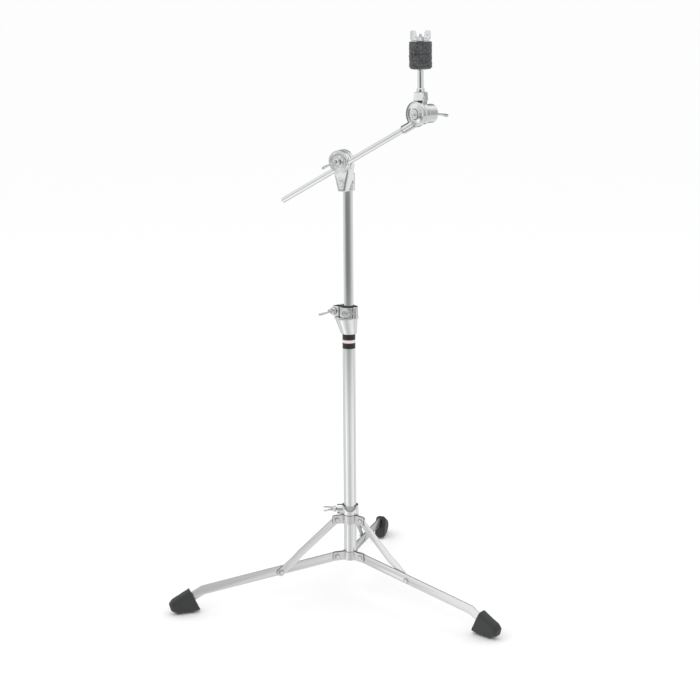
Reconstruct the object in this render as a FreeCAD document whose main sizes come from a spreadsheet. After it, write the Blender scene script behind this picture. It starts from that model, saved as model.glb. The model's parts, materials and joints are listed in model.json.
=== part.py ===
"""Flat-base cymbal boom stand, as an assembly of separate pieces (millimetres).

Frame: origin on the floor on the axis of the tubes, +Z up, +X towards the cymbal end of the boom.
The boom tilter's hinge lies along Y, and its wing nut is on the -Y side.
"""
import FreeCAD, Part
import math
import os
import Sketcher

V = FreeCAD.Vector
X_AXIS = V(1, 0, 0)
Y_AXIS = V(0, 1, 0)
Z_AXIS = V(0, 0, 1)

doc = FreeCAD.newDocument("cymbal_boom_stand")
sheet = doc.addObject("Spreadsheet::Sheet", "Sizes")

SIZES = {
    # tubes
    "lower_tube_radius": 12.7,
    "lower_tube_wall": 1.2,
    "lower_tube_foot": 74.0,
    "lower_tube_head": 575.0,
    "middle_tube_radius": 9.525,
    "middle_tube_wall": 1.2,
    "middle_tube_foot": 350.0,
    "middle_tube_head": 866.0,
    "plug_flange": 2.0,
    "plug_depth": 16.0,
    "guide_bush_length": 36.0,
    "band_foot": 521.0,
    "band_height": 29.0,
    "band_thickness": 0.35,
    # fits
    "running_gap": 0.05,
    "face_gap": 0.3,
    # linkage of one leg, in its own upright plane
    "pivot_reach": 30.0,
    "leg_pivot_height": 81.7,
    "brace_pivot_height": 161.1,
    "link_reach": 150.8,
    "link_height": 62.1,
    # leg strip
    "leg_thickness": 3.0,
    "leg_width": 19.0,
    "leg_slope": 7.6,
    "leg_back": 8.0,
    "leg_straight": 286.5,
    "leg_bend": 19.0,
    "leg_toe": 44.0,
    # brace strip
    "brace_thickness": 2.5,
    "brace_width": 16.0,
    "brace_end": 8.0,
    "joggle_start": 54.0,
    "joggle_end": 39.0,
    # pressed collars
    "segment_thickness": 2.0,
    "segment_height": 18.0,
    "flange_reach": 38.5,
    "flange_corner": 5.0,
    "collar_liner_wall": 1.5,
    "collar_ring_wall": 2.8,
    "collar_ring_foot": 171.0,
    "collar_ring_head": 190.5,
    "collar_skirt_foot": 150.0,
    "collar_skirt_wall": 1.0,
    "liner_head": 189.0,
    "collar_screw_height": 181.0,
    "collar_boss_radius": 10.0,
    "collar_boss_reach": 27.0,
    "collar_boss_start": 8.0,
    "collar_notch_radius": 12.5,
    # rivets
    "rivet_radius": 3.0,
    "rivet_head_radius": 6.2,
    "rivet_head_height": 2.4,
    # rubber boot, as reaches and heights in the leg's plane
    "boot_width": 22.0,
    "boot_edge": 7.5,
    "boot_mouth_foot_reach": 321.5,
    "boot_mouth_foot_height": 4.5,
    "boot_mouth_head_reach": 342.0,
    "boot_mouth_head_height": 49.0,
    "boot_sole_start": 340.0,
    "boot_sole_end": 367.0,
    "boot_toe_reach": 384.0,
    "boot_toe_foot_height": 8.5,
    "boot_toe_head_height": 22.0,
    "boot_shoulder_height": 31.0,
    # height clamp
    "clamp_foot": 551.0,
    "clamp_rim": 583.0,
    "clamp_head": 606.0,
    "clamp_foot_radius": 15.8,
    "clamp_rim_radius": 24.0,
    "clamp_rim_shift": 4.0,
    "clamp_rim_aside": 3.0,
    "clamp_rim_height": 4.0,
    "clamp_jaw_radius": 18.5,
    "clamp_lug_reach": 31.0,
    "clamp_lug_back": 8.5,
    "clamp_lug_front": 17.0,
    "clamp_slot": 1.2,
    "clamp_bolt_reach": 24.5,
    "clamp_hinge_reach": 20.5,
    "clamp_liner_radius": 11.5,
    "clamp_lug_start": 12.0,
    "knuckle_radius": 4.6,
    "gate_boss_radius": 8.6,
    "gate_boss_height": 2.6,
    "hinge_pin_radius": 2.0,
    "hinge_pin_head_radius": 3.2,
    "hinge_pin_head_height": 1.6,
    "bushing_flange": 0.9,
    "bushing_flange_height": 2.4,
    # boom tilter
    "boom_hinge_x": 3.0,
    "boom_hinge_height": 898.0,
    "boom_plane": 33.5,
    "boom_offset": 9.65,
    "boom_slope": 28.2,
    "drum_radius": 21.5,
    "drum_face": 41.0,
    "drum_back": 26.6,
    "cheek_face": 25.3,
    "cheek_back": 16.0,
    "cheek_radius": 22.3,
    "socket_radius": 13.8,
    "socket_foot": 838.0,
    "socket_head": 872.0,
    "neck_back": 4.0,
    "neck_foot_left": 8.0,
    "neck_foot_right": 9.0,
    "neck_head_left": 21.5,
    "neck_head_right": 20.0,
    "neck_head_height": 890.8,
    "socket_rivet_height": 855.0,
    "socket_rivet_radius": 2.0,
    "socket_rivet_head_radius": 3.4,
    "socket_rivet_head_height": 1.4,
    # boom rod
    "rod_radius": 5.25,
    "rod_tail": 158.9,
    "rod_nose": 179.6,
    # cymbal tilter, along its own hinge axis from the ear's face
    "tilter_x": 177.0,
    "tilter_y": -23.5,
    "tilter_height": 992.9,
    "tilter_yaw": 16.0,
    "tilter_lean": 0.8,
    "ear_face": 17.2,
    "ear_back": 7.4,
    "ear_radius": 24.0,
    "ear_lug_radius": 8.0,
    "ear_lug_length": 27.0,
    "hub_radius": 20.0,
    "hub_half": 6.2,
    "hub_neck_half": 11.0,
    "boss_foot": 24.6,
    "boss_head": 40.2,
    "boss_foot_half": 14.0,
    "boss_head_half": 12.6,
    "pressure_drum_radius": 17.6,
    "pressure_drum_end": 29.0,
    # cymbal post
    "collar_nut_head": 47.7,
    "collar_nut_radius": 7.8,
    "seat_radius": 5.75,
    "felt_foot": 82.5,
    "felt_lower_top": 97.6,
    "felt_middle_top": 109.4,
    "felt_head": 132.5,
    "felt_radius": 21.3,
    "felt_edge": 3.5,
    "thread_radius": 3.0,
    "thread_head": 146.5,
    "sleeve_radius": 4.6,
    "washer_thickness": 1.5,
    "friction_washer": 1.0,
    "brake_washer": 0.8,
    # bolts
    "bolt_radius": 3.0,
    "bolt_head_radius": 6.5,
    "bolt_head_height": 4.0,
    "bolt_tail": 4.0,
    "tilter_bolt_flange_radius": 9.5,
    "tilter_bolt_dome_radius": 7.0,
}
LEG_AZIMUTH = {"front_right": -10.0, "rear": 110.0, "front_left": 230.0}
CLAMP_AZIMUTH = 160.0
GATE_BOSS_AZIMUTH = -80.0
NOTCH_AZIMUTH = -58.0
COLLAR_SCREW_AZIMUTH = 212.0

# wing fasteners: half span, hub radius and height, height of the wings, plate thickness, bore radius
WINGS = {
    "collar_wing_screw": {"span": 15.0, "hub": 6.0, "stem": 8.0, "rise": 27.0, "plate": 3.6, "bore": 3.0},
    "clamp_wing_nut": {"span": 20.0, "hub": 7.0, "stem": 9.0, "rise": 28.0, "plate": 3.8, "bore": 3.05},
    "boom_wing_nut": {"span": 25.0, "hub": 7.5, "stem": 9.0, "rise": 26.0, "plate": 4.0, "bore": 3.05},
    "tilter_wing_nut": {"span": 19.0, "hub": 7.0, "stem": 9.0, "rise": 28.0, "plate": 3.8, "bore": 3.05},
    "top_wing_nut": {"span": 19.0, "hub": 6.5, "stem": 8.0, "rise": 20.0, "plate": 3.4, "bore": 3.05},
}
# one half of a wing plate's outline, as shares of the half span and of the height
WING_OUTLINE = [
    (0.0, 0.05), (0.30, 0.05), (0.62, 0.30), (0.97, 0.74), (1.0, 0.92), (0.88, 1.0), (0.66, 0.95),
    (0.36, 0.42), (0.0, 0.30),
]
# the cymbal's wing nut has upright wings instead
UPRIGHT_OUTLINE = [
    (0.0, 0.05), (0.88, 0.05), (1.0, 0.28), (1.0, 0.90), (0.90, 1.0), (0.56, 1.0), (0.40, 0.84), (0.36, 0.46),
    (0.0, 0.38),
]
# length of a cutter that passes right through any casting
THROUGH = 60.0

for nut_name, nut_sizes in WINGS.items():
    for key, value in nut_sizes.items():
        SIZES[nut_name + "_" + key] = value

for row, (alias, value) in enumerate(SIZES.items(), start=1):
    sheet.set("A%d" % row, alias)
    sheet.set("B%d" % row, "%g" % value)
    sheet.setAlias("B%d" % row, alias)
doc.recompute()

subparts = []


def named(text):
    """Turn a size name, or a sum of size names written with {name}, into an expression."""
    return text.replace("{", "Sizes.").replace("}", "")


def size(name):
    return SIZES[name]


def keep(piece, placement=None):
    """Register a finished sub-part and put it in its place."""
    if placement is not None:
        piece.Placement = placement
    subparts.append(piece)
    return piece


def upright(azimuth):
    """Turn about the tube's axis."""
    return FreeCAD.Placement(V(0, 0, 0), FreeCAD.Rotation(Z_AXIS, azimuth))


# ---------------------------------------------------------------- sketch helpers

def new_body(label):
    body = doc.addObject("PartDesign::Body", label)
    body.Label = label
    return body


def new_sketch(body, role, offset="0"):
    plane = next(item for item in body.Origin.OriginFeatures if item.Role == role)
    sketch = body.newObject("Sketcher::SketchObject", body.Name + "_sketch")
    sketch.AttachmentSupport = [(plane, "")]
    sketch.MapMode = "FlatFace"
    sketch.setExpression("AttachmentOffset.Base.z", named(offset))
    return sketch


def draw_outline(sketch, points):
    """Closed outline of straight lines whose corners are bound to expressions."""
    count = len(points)
    for index in range(count):
        start = V(index, 0.5 * index, 0)
        end = V(index + 1, 0.5 * index + 0.5, 0)
        sketch.addGeometry(Part.LineSegment(start, end), False)
    for index in range(count):
        sketch.addConstraint(Sketcher.Constraint("Coincident", index, 2, (index + 1) % count, 1))
    for index, (across, along) in enumerate(points):
        for kind, text in (("DistanceX", across), ("DistanceY", along)):
            number = sketch.addConstraint(Sketcher.Constraint(kind, -1, 1, index, 1, 1.0 + index))
            sketch.setExpression("Constraints[%d]" % number, named(text))


def draw_circle(sketch, across, along, radius):
    index = sketch.addGeometry(Part.Circle(V(1, 1, 0), Z_AXIS, 5), False)
    for kind, text in (("DistanceX", across), ("DistanceY", along)):
        number = sketch.addConstraint(Sketcher.Constraint(kind, -1, 1, index, 3, 1.0))
        sketch.setExpression("Constraints[%d]" % number, named(text))
    number = sketch.addConstraint(Sketcher.Constraint("Radius", index, 5.0))
    sketch.setExpression("Constraints[%d]" % number, named(radius))


def pad(body, sketch, length, both_ways=False):
    feature = body.newObject("PartDesign::Pad", body.Name + "_pad")
    feature.Profile = sketch
    feature.setExpression("Length", named(length))
    feature.SideType = "Symmetric" if both_ways else "One side"
    doc.recompute()
    return feature


def drill(body, role, across, along, radius):
    """Round hole right through the body, along the normal of one of its origin planes."""
    sketch = new_sketch(body, role)
    draw_circle(sketch, across, along, radius)
    feature = body.newObject("PartDesign::Pocket", body.Name + "_hole")
    feature.Profile = sketch
    feature.Length = 500
    feature.SideType = "Symmetric"
    doc.recompute()
    return feature


def turn(body, points):
    """Solid of revolution about the body's Z axis; points are (radius, height)."""
    sketch = new_sketch(body, "XZ_Plane")
    draw_outline(sketch, points)
    feature = body.newObject("PartDesign::Revolution", body.Name + "_turned")
    feature.Profile = sketch
    feature.ReferenceAxis = (sketch, ["V_Axis"])
    feature.Angle = 360
    doc.recompute()
    return feature


def round_edges(body, base, radius, wanted):
    """Fillet the edges of base for which wanted(edge) is true."""
    names = ["Edge%d" % (number + 1) for number, edge in enumerate(base.Shape.Edges) if wanted(edge)]
    feature = body.newObject("PartDesign::Fillet", body.Name + "_round")
    feature.Base = (base, names)
    feature.setExpression("Radius", named(radius))
    doc.recompute()
    return feature


def runs_along(edge, axis):
    start = edge.Vertexes[0].Point
    end = edge.Vertexes[-1].Point
    span = end.sub(start)
    return span.Length > 1e-6 and abs(abs(span.normalize().dot(axis)) - 1) < 1e-6


# ---------------------------------------------------------------- primitive helpers

def bind(item, sizes):
    for name, text in sizes.items():
        item.setExpression(name, named(str(text)))
    return item


def rod_solid(label, radius, length, base=V(0, 0, 0), axis=Z_AXIS, angle=None):
    item = doc.addObject("Part::Cylinder", label)
    bind(item, {"Radius": radius, "Height": length})
    if angle is not None:
        item.Angle = angle
    item.Placement = FreeCAD.Placement(base, FreeCAD.Rotation(Z_AXIS, axis))
    return item


def block_solid(label, sizes, base, rotation=FreeCAD.Rotation()):
    item = doc.addObject("Part::Box", label)
    bind(item, {"Length": sizes[0], "Width": sizes[1], "Height": sizes[2]})
    item.Placement = FreeCAD.Placement(base, rotation)
    return item


def dome_solid(label, radius, height, base, axis):
    item = doc.addObject("Part::Ellipsoid", label)
    bind(item, {"Radius1": height, "Radius2": radius, "Radius3": radius})
    item.Angle1 = 0
    item.Angle2 = 90
    item.Placement = FreeCAD.Placement(base, FreeCAD.Rotation(Z_AXIS, axis))
    return item


def join(label, items):
    item = doc.addObject("Part::MultiFuse", label)
    item.Shapes = items
    item.Refine = True
    return item


def subtract(label, base, tool):
    item = doc.addObject("Part::Cut", label)
    item.Base = base
    item.Tool = tool
    item.Refine = True
    return item


def group(label, items):
    item = doc.addObject("Part::Compound", label)
    item.Links = items
    return item


# ---------------------------------------------------------------- stand column

def make_lower_tube():
    body = new_body("lower_tube")
    turn(body, [
        ("{lower_tube_radius} - {lower_tube_wall}", "{lower_tube_foot}"),
        ("{lower_tube_radius}", "{lower_tube_foot}"),
        ("{lower_tube_radius}", "{lower_tube_head}"),
        ("{lower_tube_radius} - {lower_tube_wall}", "{lower_tube_head}"),
    ])
    keep(body)


def make_tube_end_plug():
    body = new_body("tube_end_plug")
    bore = "{lower_tube_radius} - {lower_tube_wall}"
    turn(body, [
        ("0", "{lower_tube_foot} - {plug_flange}"),
        ("{lower_tube_radius} - 1", "{lower_tube_foot} - {plug_flange}"),
        ("{lower_tube_radius}", "{lower_tube_foot} - {plug_flange} + 1"),
        ("{lower_tube_radius}", "{lower_tube_foot}"),
        (bore, "{lower_tube_foot}"),
        (bore, "{lower_tube_foot} + {plug_depth}"),
        ("0", "{lower_tube_foot} + {plug_depth}"),
    ])
    keep(body)


def make_label_band():
    body = new_body("label_band")
    turn(body, [
        ("{lower_tube_radius}", "{band_foot}"),
        ("{lower_tube_radius} + {band_thickness}", "{band_foot}"),
        ("{lower_tube_radius} + {band_thickness}", "{band_foot} + {band_height}"),
        ("{lower_tube_radius}", "{band_foot} + {band_height}"),
    ])
    keep(body)


def make_middle_tube():
    body = new_body("middle_tube")
    turn(body, [
        ("{middle_tube_radius} - {middle_tube_wall}", "{middle_tube_foot}"),
        ("{middle_tube_radius}", "{middle_tube_foot}"),
        ("{middle_tube_radius}", "{middle_tube_head}"),
        ("{middle_tube_radius} - {middle_tube_wall}", "{middle_tube_head}"),
    ])
    keep(body)


def make_guide_bush():
    body = new_body("middle_tube_guide_bush")
    inner = "{middle_tube_radius} + {running_gap}"
    outer = "{lower_tube_radius} - {lower_tube_wall} - {running_gap}"
    turn(body, [
        (inner, "{middle_tube_foot} + 2"),
        (outer, "{middle_tube_foot} + 2"),
        (outer, "{middle_tube_foot} + 2 + {guide_bush_length}"),
        (inner, "{middle_tube_foot} + 2 + {guide_bush_length}"),
    ])
    keep(body)


# ---------------------------------------------------------------- folding base

def leg_frame(azimuth):
    """Frame of one leg strip: X along the strip from its pivot, Y across its thickness."""
    pivot = V(size("pivot_reach"), 0, size("leg_pivot_height"))
    tilt = FreeCAD.Placement(pivot, FreeCAD.Rotation(Y_AXIS, size("leg_slope")))
    return upright(azimuth).multiply(tilt)


def link_lengths():
    """Distances from the leg's pivot and the brace's pivot to the pin that joins them."""
    run = size("link_reach") - size("pivot_reach")
    leg_drop = size("leg_pivot_height") - size("link_height")
    brace_drop = size("brace_pivot_height") - size("link_height")
    return math.hypot(run, leg_drop), math.hypot(run, brace_drop)


LINK_RUN = "({link_reach} - {pivot_reach})"
LEG_DROP = "({leg_pivot_height} - {link_height})"
BRACE_DROP = "({brace_pivot_height} - {link_height})"
BRACE_SPAN = "sqrt(pow(%s, 2) + pow(%s, 2))" % (LINK_RUN, BRACE_DROP)


def make_leg(name, azimuth):
    body = new_body("leg_" + name)
    half = "{leg_width} / 2"
    bend = "{leg_bend} * 1deg"
    sketch = new_sketch(body, "XZ_Plane")
    draw_outline(sketch, [
        ("-{leg_back}", "-" + half),
        ("{leg_straight} - tan(%s / 2) * %s" % (bend, half), "-" + half),
        ("{leg_straight} + {leg_toe} * cos(%s) - %s * sin(%s)" % (bend, half, bend),
         "-{leg_toe} * sin(%s) - %s * cos(%s)" % (bend, half, bend)),
        ("{leg_straight} + {leg_toe} * cos(%s) + %s * sin(%s)" % (bend, half, bend),
         "-{leg_toe} * sin(%s) + %s * cos(%s)" % (bend, half, bend)),
        ("{leg_straight} + tan(%s / 2) * %s" % (bend, half), half),
        ("-{leg_back}", half),
    ])
    strip = pad(body, sketch, "{leg_thickness}", both_ways=True)

    def at_pivot_end(edge):
        return runs_along(edge, Y_AXIS) and edge.Vertexes[0].Point.x < 0

    round_edges(body, strip, "{leg_width} / 2 - 1.6", at_pivot_end)
    drill(body, "XZ_Plane", "0", "0", "{rivet_radius} + {running_gap}")
    slope = "{leg_slope} * 1deg"
    drill(body, "XZ_Plane",
          "%s * cos(%s) + %s * sin(%s)" % (LINK_RUN, slope, LEG_DROP, slope),
          "%s * sin(%s) - %s * cos(%s)" % (LINK_RUN, slope, LEG_DROP, slope),
          "{rivet_radius}")
    return keep(body, leg_frame(azimuth))


def make_boot(name, azimuth, leg):
    """Rubber boot: a rounded wedge with a flat sole, pushed over the end of the leg strip."""
    body = new_body("boot_form_" + name)
    sketch = new_sketch(body, "XZ_Plane")
    draw_outline(sketch, [
        ("{boot_mouth_foot_reach}", "{boot_mouth_foot_height}"),
        ("{boot_sole_start}", "0"),
        ("{boot_sole_end}", "0"),
        ("{boot_toe_reach} - 3.5", "{boot_toe_foot_height}"),
        ("{boot_toe_reach}", "{boot_toe_head_height}"),
        ("{boot_toe_reach} - 7", "{boot_shoulder_height}"),
        ("{boot_mouth_head_reach}", "{boot_mouth_head_height}"),
    ])
    form = pad(body, sketch, "{boot_width}", both_ways=True)

    def is_rim(edge):
        middle = edge.valueAt((edge.FirstParameter + edge.LastParameter) / 2)
        on_side = abs(abs(middle.y) - size("boot_width") / 2) < 1e-6
        open_end = middle.x < size("boot_sole_start") - 5 and middle.z > size("boot_mouth_foot_height") + 1
        return on_side and not open_end

    round_edges(body, form, "{boot_edge}", is_rim)
    body.Placement = upright(azimuth)
    keep(subtract("boot_" + name, body, leg))


def brace_frame(azimuth):
    """Frame of one brace: X from its upper pivot to the pin on the leg, Y across its thickness."""
    run = size("link_reach") - size("pivot_reach")
    drop = size("brace_pivot_height") - size("link_height")
    pivot = V(size("pivot_reach"), 0, size("brace_pivot_height"))
    tilt = FreeCAD.Placement(pivot, FreeCAD.Rotation(Y_AXIS, math.degrees(math.atan2(drop, run))))
    return upright(azimuth).multiply(tilt)


def make_brace(name, azimuth):
    """Brace strip with a joggle, so that its lower end lies beside the leg."""
    body = new_body("brace_" + name)
    half = "{brace_thickness} / 2"
    aside = "({leg_thickness} / 2 + {face_gap})"
    sketch = new_sketch(body, "XY_Plane")
    draw_outline(sketch, [
        ("-{brace_end}", "-" + half),
        (BRACE_SPAN + " - {joggle_start}", "-" + half),
        (BRACE_SPAN + " - {joggle_end}", aside),
        (BRACE_SPAN + " + {brace_end}", aside),
        (BRACE_SPAN + " + {brace_end}", aside + " + {brace_thickness}"),
        (BRACE_SPAN + " - {joggle_end}", aside + " + {brace_thickness}"),
        (BRACE_SPAN + " - {joggle_start}", half),
        ("-{brace_end}", half),
    ])
    strip = pad(body, sketch, "{brace_width}", both_ways=True)

    def at_an_end(edge):
        where = edge.Vertexes[0].Point.x
        return runs_along(edge, Y_AXIS) and (where < 0 or where > link_lengths()[1])

    round_edges(body, strip, "{brace_width} / 2 - 1", at_an_end)
    drill(body, "XZ_Plane", "0", "0", "{rivet_radius} + {running_gap}")
    drill(body, "XZ_Plane", BRACE_SPAN, "0", "{rivet_radius}")
    keep(body, brace_frame(azimuth))


def make_collar_segment(label, azimuth, hug, height, gap_half):
    """Pressed strip: an arc around the tube with a flange along each of two neighbouring legs."""
    thickness = size("segment_thickness")
    outer = "(%s + {segment_thickness})" % hug
    outer_value = segment_radius(hug) + thickness
    start = math.degrees(math.asin((gap_half + thickness / 2) / outer_value))
    low = height - size("segment_height") / 2
    arc = rod_solid(label + "_arc", outer, "{segment_height}", V(0, 0, low), angle=120 - 2 * start)
    arc.Placement.Rotation = FreeCAD.Rotation(Z_AXIS, start)
    first = block_solid(label + "_first", ("{flange_reach} - 8", "{segment_thickness}", "{segment_height}"),
                        V(8, gap_half, low))
    turned = upright(120)
    second = block_solid(label + "_second", ("{flange_reach} - 8", "{segment_thickness}", "{segment_height}"),
                         turned.multVec(V(8, -gap_half - thickness, low)), turned.Rotation)
    plate = join(label + "_plate", [arc, first, second])
    bore = rod_solid(label + "_bore", hug, "{segment_height} + 2", V(0, 0, low - 1))
    holes = [bore]
    for turn_angle, side in ((0, 1), (120, -1)):
        frame = upright(turn_angle)
        base = frame.multVec(V(size("pivot_reach"), -10, height))
        holes.append(rod_solid(label + "_hole", "{rivet_radius}", "20", base,
                               frame.Rotation.multVec(Y_AXIS)))
    formed = subtract(label + "_formed", plate, join(label + "_cutters", holes))
    doc.recompute()
    tips = []
    for number, edge in enumerate(formed.Shape.Edges):
        middle = edge.CenterOfMass
        radial = math.hypot(middle.x, middle.y)
        level = abs(edge.Vertexes[0].Point.z - edge.Vertexes[-1].Point.z) < 1e-6
        if radial > size("flange_reach") - 1 and level and edge.Length < thickness + 0.01:
            tips.append((number + 1, size("flange_corner"), size("flange_corner")))
    piece = doc.addObject("Part::Fillet", label)
    piece.Base = formed
    piece.Edges = tips
    keep(piece, upright(azimuth))


def segment_radius(hug):
    """Number behind a hug expression."""
    total = 0.0
    for term in hug.strip("()").split("+"):
        total += size(term.strip().strip("{}"))
    return total


LOWER_HUG = "({lower_tube_radius})"
UPPER_HUG = "({lower_tube_radius} + {running_gap} + {collar_liner_wall} + {collar_skirt_wall})"


def make_rivet_ring(label, height, gap_half):
    """Three domed rivets, one through each pair of flanges and the strip between them."""
    thickness = size("segment_thickness")
    length = "2 * (%g + {segment_thickness})" % gap_half
    rivets = []
    for azimuth in LEG_AZIMUTH.values():
        frame = upright(azimuth)
        across = frame.Rotation.multVec(Y_AXIS)
        reach = gap_half + thickness
        low = frame.multVec(V(size("pivot_reach"), -reach, height))
        high = frame.multVec(V(size("pivot_reach"), reach, height))
        shank = rod_solid(label + "_shank", "{rivet_radius}", length, low, across)
        heads = [dome_solid(label + "_head", "{rivet_head_radius}", "{rivet_head_height}", high, across),
                 dome_solid(label + "_head", "{rivet_head_radius}", "{rivet_head_height}", low,
                            across.multiply(-1))]
        rivets.append(join(label + "_rivet", [shank] + heads))
    keep(group(label, rivets))


def make_link_rivets(name, azimuth):
    """The pin that joins leg and brace, as the half held by each strip."""
    frame = upright(azimuth)
    across = frame.Rotation.multVec(Y_AXIS)
    half_leg = size("leg_thickness") / 2
    inner = half_leg + size("face_gap")
    outer = inner + size("brace_thickness")

    def place(aside):
        return frame.multVec(V(size("link_reach"), aside, size("link_height")))

    leg_shank = rod_solid("leg_pin_shank", "{rivet_radius}", "{leg_thickness}", place(-half_leg), across)
    leg_head = dome_solid("leg_pin_head", "{rivet_head_radius}", "{rivet_head_height}",
                          place(-half_leg), frame.Rotation.multVec(Y_AXIS * -1))
    keep(join("leg_rivet_" + name, [leg_shank, leg_head]))
    brace_shank = rod_solid("brace_pin_shank", "{rivet_radius}", "{brace_thickness}", place(inner), across)
    brace_head = dome_solid("brace_pin_head", "{rivet_head_radius}", "{rivet_head_height}",
                            place(outer), across)
    keep(join("brace_rivet_" + name, [brace_shank, brace_head]))


def make_upper_collar():
    """Sliding collar: nylon liner, clamp ring with a threaded boss, and its wing screw."""
    liner = new_body("upper_collar_liner")
    inner = "{lower_tube_radius} + {running_gap}"
    outer = inner + " + {collar_liner_wall}"
    turn(liner, [
        (inner, "{collar_skirt_foot}"),
        (outer, "{collar_skirt_foot}"),
        (outer, "{liner_head} - 1"),
        (outer + " - 0.7", "{liner_head}"),
        (inner, "{liner_head}"),
    ])
    direction = upright(COLLAR_SCREW_AZIMUTH).Rotation.multVec(X_AXIS)
    screw_level = V(0, 0, size("collar_screw_height"))
    tap_start = screw_level + direction * size("lower_tube_radius")
    tap = rod_solid("upper_collar_liner_tap", "{bolt_radius}", "8", tap_start, direction)
    keep(subtract("upper_collar_bushing", liner, tap))

    ring = new_body("upper_collar_ring_form")
    skirt = outer + " + {collar_skirt_wall}"
    wall = outer + " + {collar_ring_wall}"
    turn(ring, [
        (outer, "{collar_skirt_foot}"),
        (skirt, "{collar_skirt_foot}"),
        (skirt, "{collar_ring_foot}"),
        (wall, "{collar_ring_foot}"),
        (wall, "{collar_ring_head}"),
        (outer, "{collar_ring_head}"),
    ])
    boss = rod_solid("collar_boss", "{collar_boss_radius}", "{collar_boss_reach} - {collar_boss_start}",
                     screw_level + direction * size("collar_boss_start"), direction)
    bore = rod_solid("collar_boss_bore", "({lower_tube_radius} + {running_gap} + {collar_liner_wall})",
                     THROUGH, V(0, 0, size("collar_skirt_foot") - 5))
    tapping = rod_solid("collar_boss_tap", "{bolt_radius}", THROUGH, screw_level, direction)
    notch_side = upright(NOTCH_AZIMUTH).Rotation.multVec(X_AXIS)
    notch = rod_solid("collar_notch", "{collar_notch_radius}", THROUGH,
                      V(0, 0, size("collar_ring_head") + 1) + notch_side * 3, notch_side)
    solid = join("upper_collar_ring_solid", [ring, boss])
    keep(subtract("upper_collar_ring", solid, join("collar_cutters", [bore, tapping, notch])))


# ---------------------------------------------------------------- wing fasteners

def make_wing(label, placement, shank=None, blind=False):
    """Wing nut or wing screw: turned hub and two upswept plates; its axis is the body's Z."""
    body = new_body(label)
    span = "{%s_span}" % label
    hub = "{%s_hub}" % label
    stem = "{%s_stem}" % label
    rise = "{%s_rise}" % label
    turn(body, [
        ("0", "0"),
        (hub, "0"),
        (hub, "0.5 * " + stem),
        (hub + " * 0.78", stem),
        ("0", stem),
    ])
    sketch = new_sketch(body, "XZ_Plane")
    half = UPRIGHT_OUTLINE if label == "top_wing_nut" else WING_OUTLINE
    outline = half + [(-across, up) for across, up in reversed(half[1:-1])]
    draw_outline(sketch, [("%g * %s" % (across, span), "%g * %s" % (up, rise)) for across, up in outline])
    wings = pad(body, sketch, "{%s_plate}" % label, both_ways=True)

    def at_tips(edge):
        return runs_along(edge, Y_AXIS) and abs(edge.Vertexes[0].Point.x) > 0.6 * size(label + "_span")

    round_edges(body, wings, "0.05 * " + span, at_tips)
    if not blind:
        drill(body, "XY_Plane", "0", "0", "{%s_bore}" % label)
    if shank is not None:
        radius, length = shank
        sketch = new_sketch(body, "XY_Plane")
        draw_circle(sketch, "0", "0", radius)
        screw = body.newObject("PartDesign::Pad", label + "_screw")
        screw.Profile = sketch
        screw.setExpression("Length", named(length))
        screw.Reversed = True
        doc.recompute()
    return keep(body, placement)


def facing(base, axis, spin=0.0):
    """Placement whose Z lies along axis, turned by spin about it."""
    aim = FreeCAD.Rotation(Z_AXIS, axis)
    return FreeCAD.Placement(base, aim.multiply(FreeCAD.Rotation(Z_AXIS, spin)))


def make_collar_wing_screw():
    direction = upright(COLLAR_SCREW_AZIMUTH).Rotation.multVec(X_AXIS)
    start = direction * (size("collar_boss_reach") + 1.5) + V(0, 0, size("collar_screw_height"))
    length = "{collar_boss_reach} + 1.5 - {lower_tube_radius} - 2 * {running_gap}"
    make_wing("collar_wing_screw", facing(start, direction, COLLAR_SCREW_AZIMUTH - 90),
              shank=("{bolt_radius} - {running_gap}", length), blind=True)


# ---------------------------------------------------------------- height clamp

def clamp_frame():
    """Frame of the height clamp: X towards the lugs, gate on the +Y side."""
    return upright(CLAMP_AZIMUTH)


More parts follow.
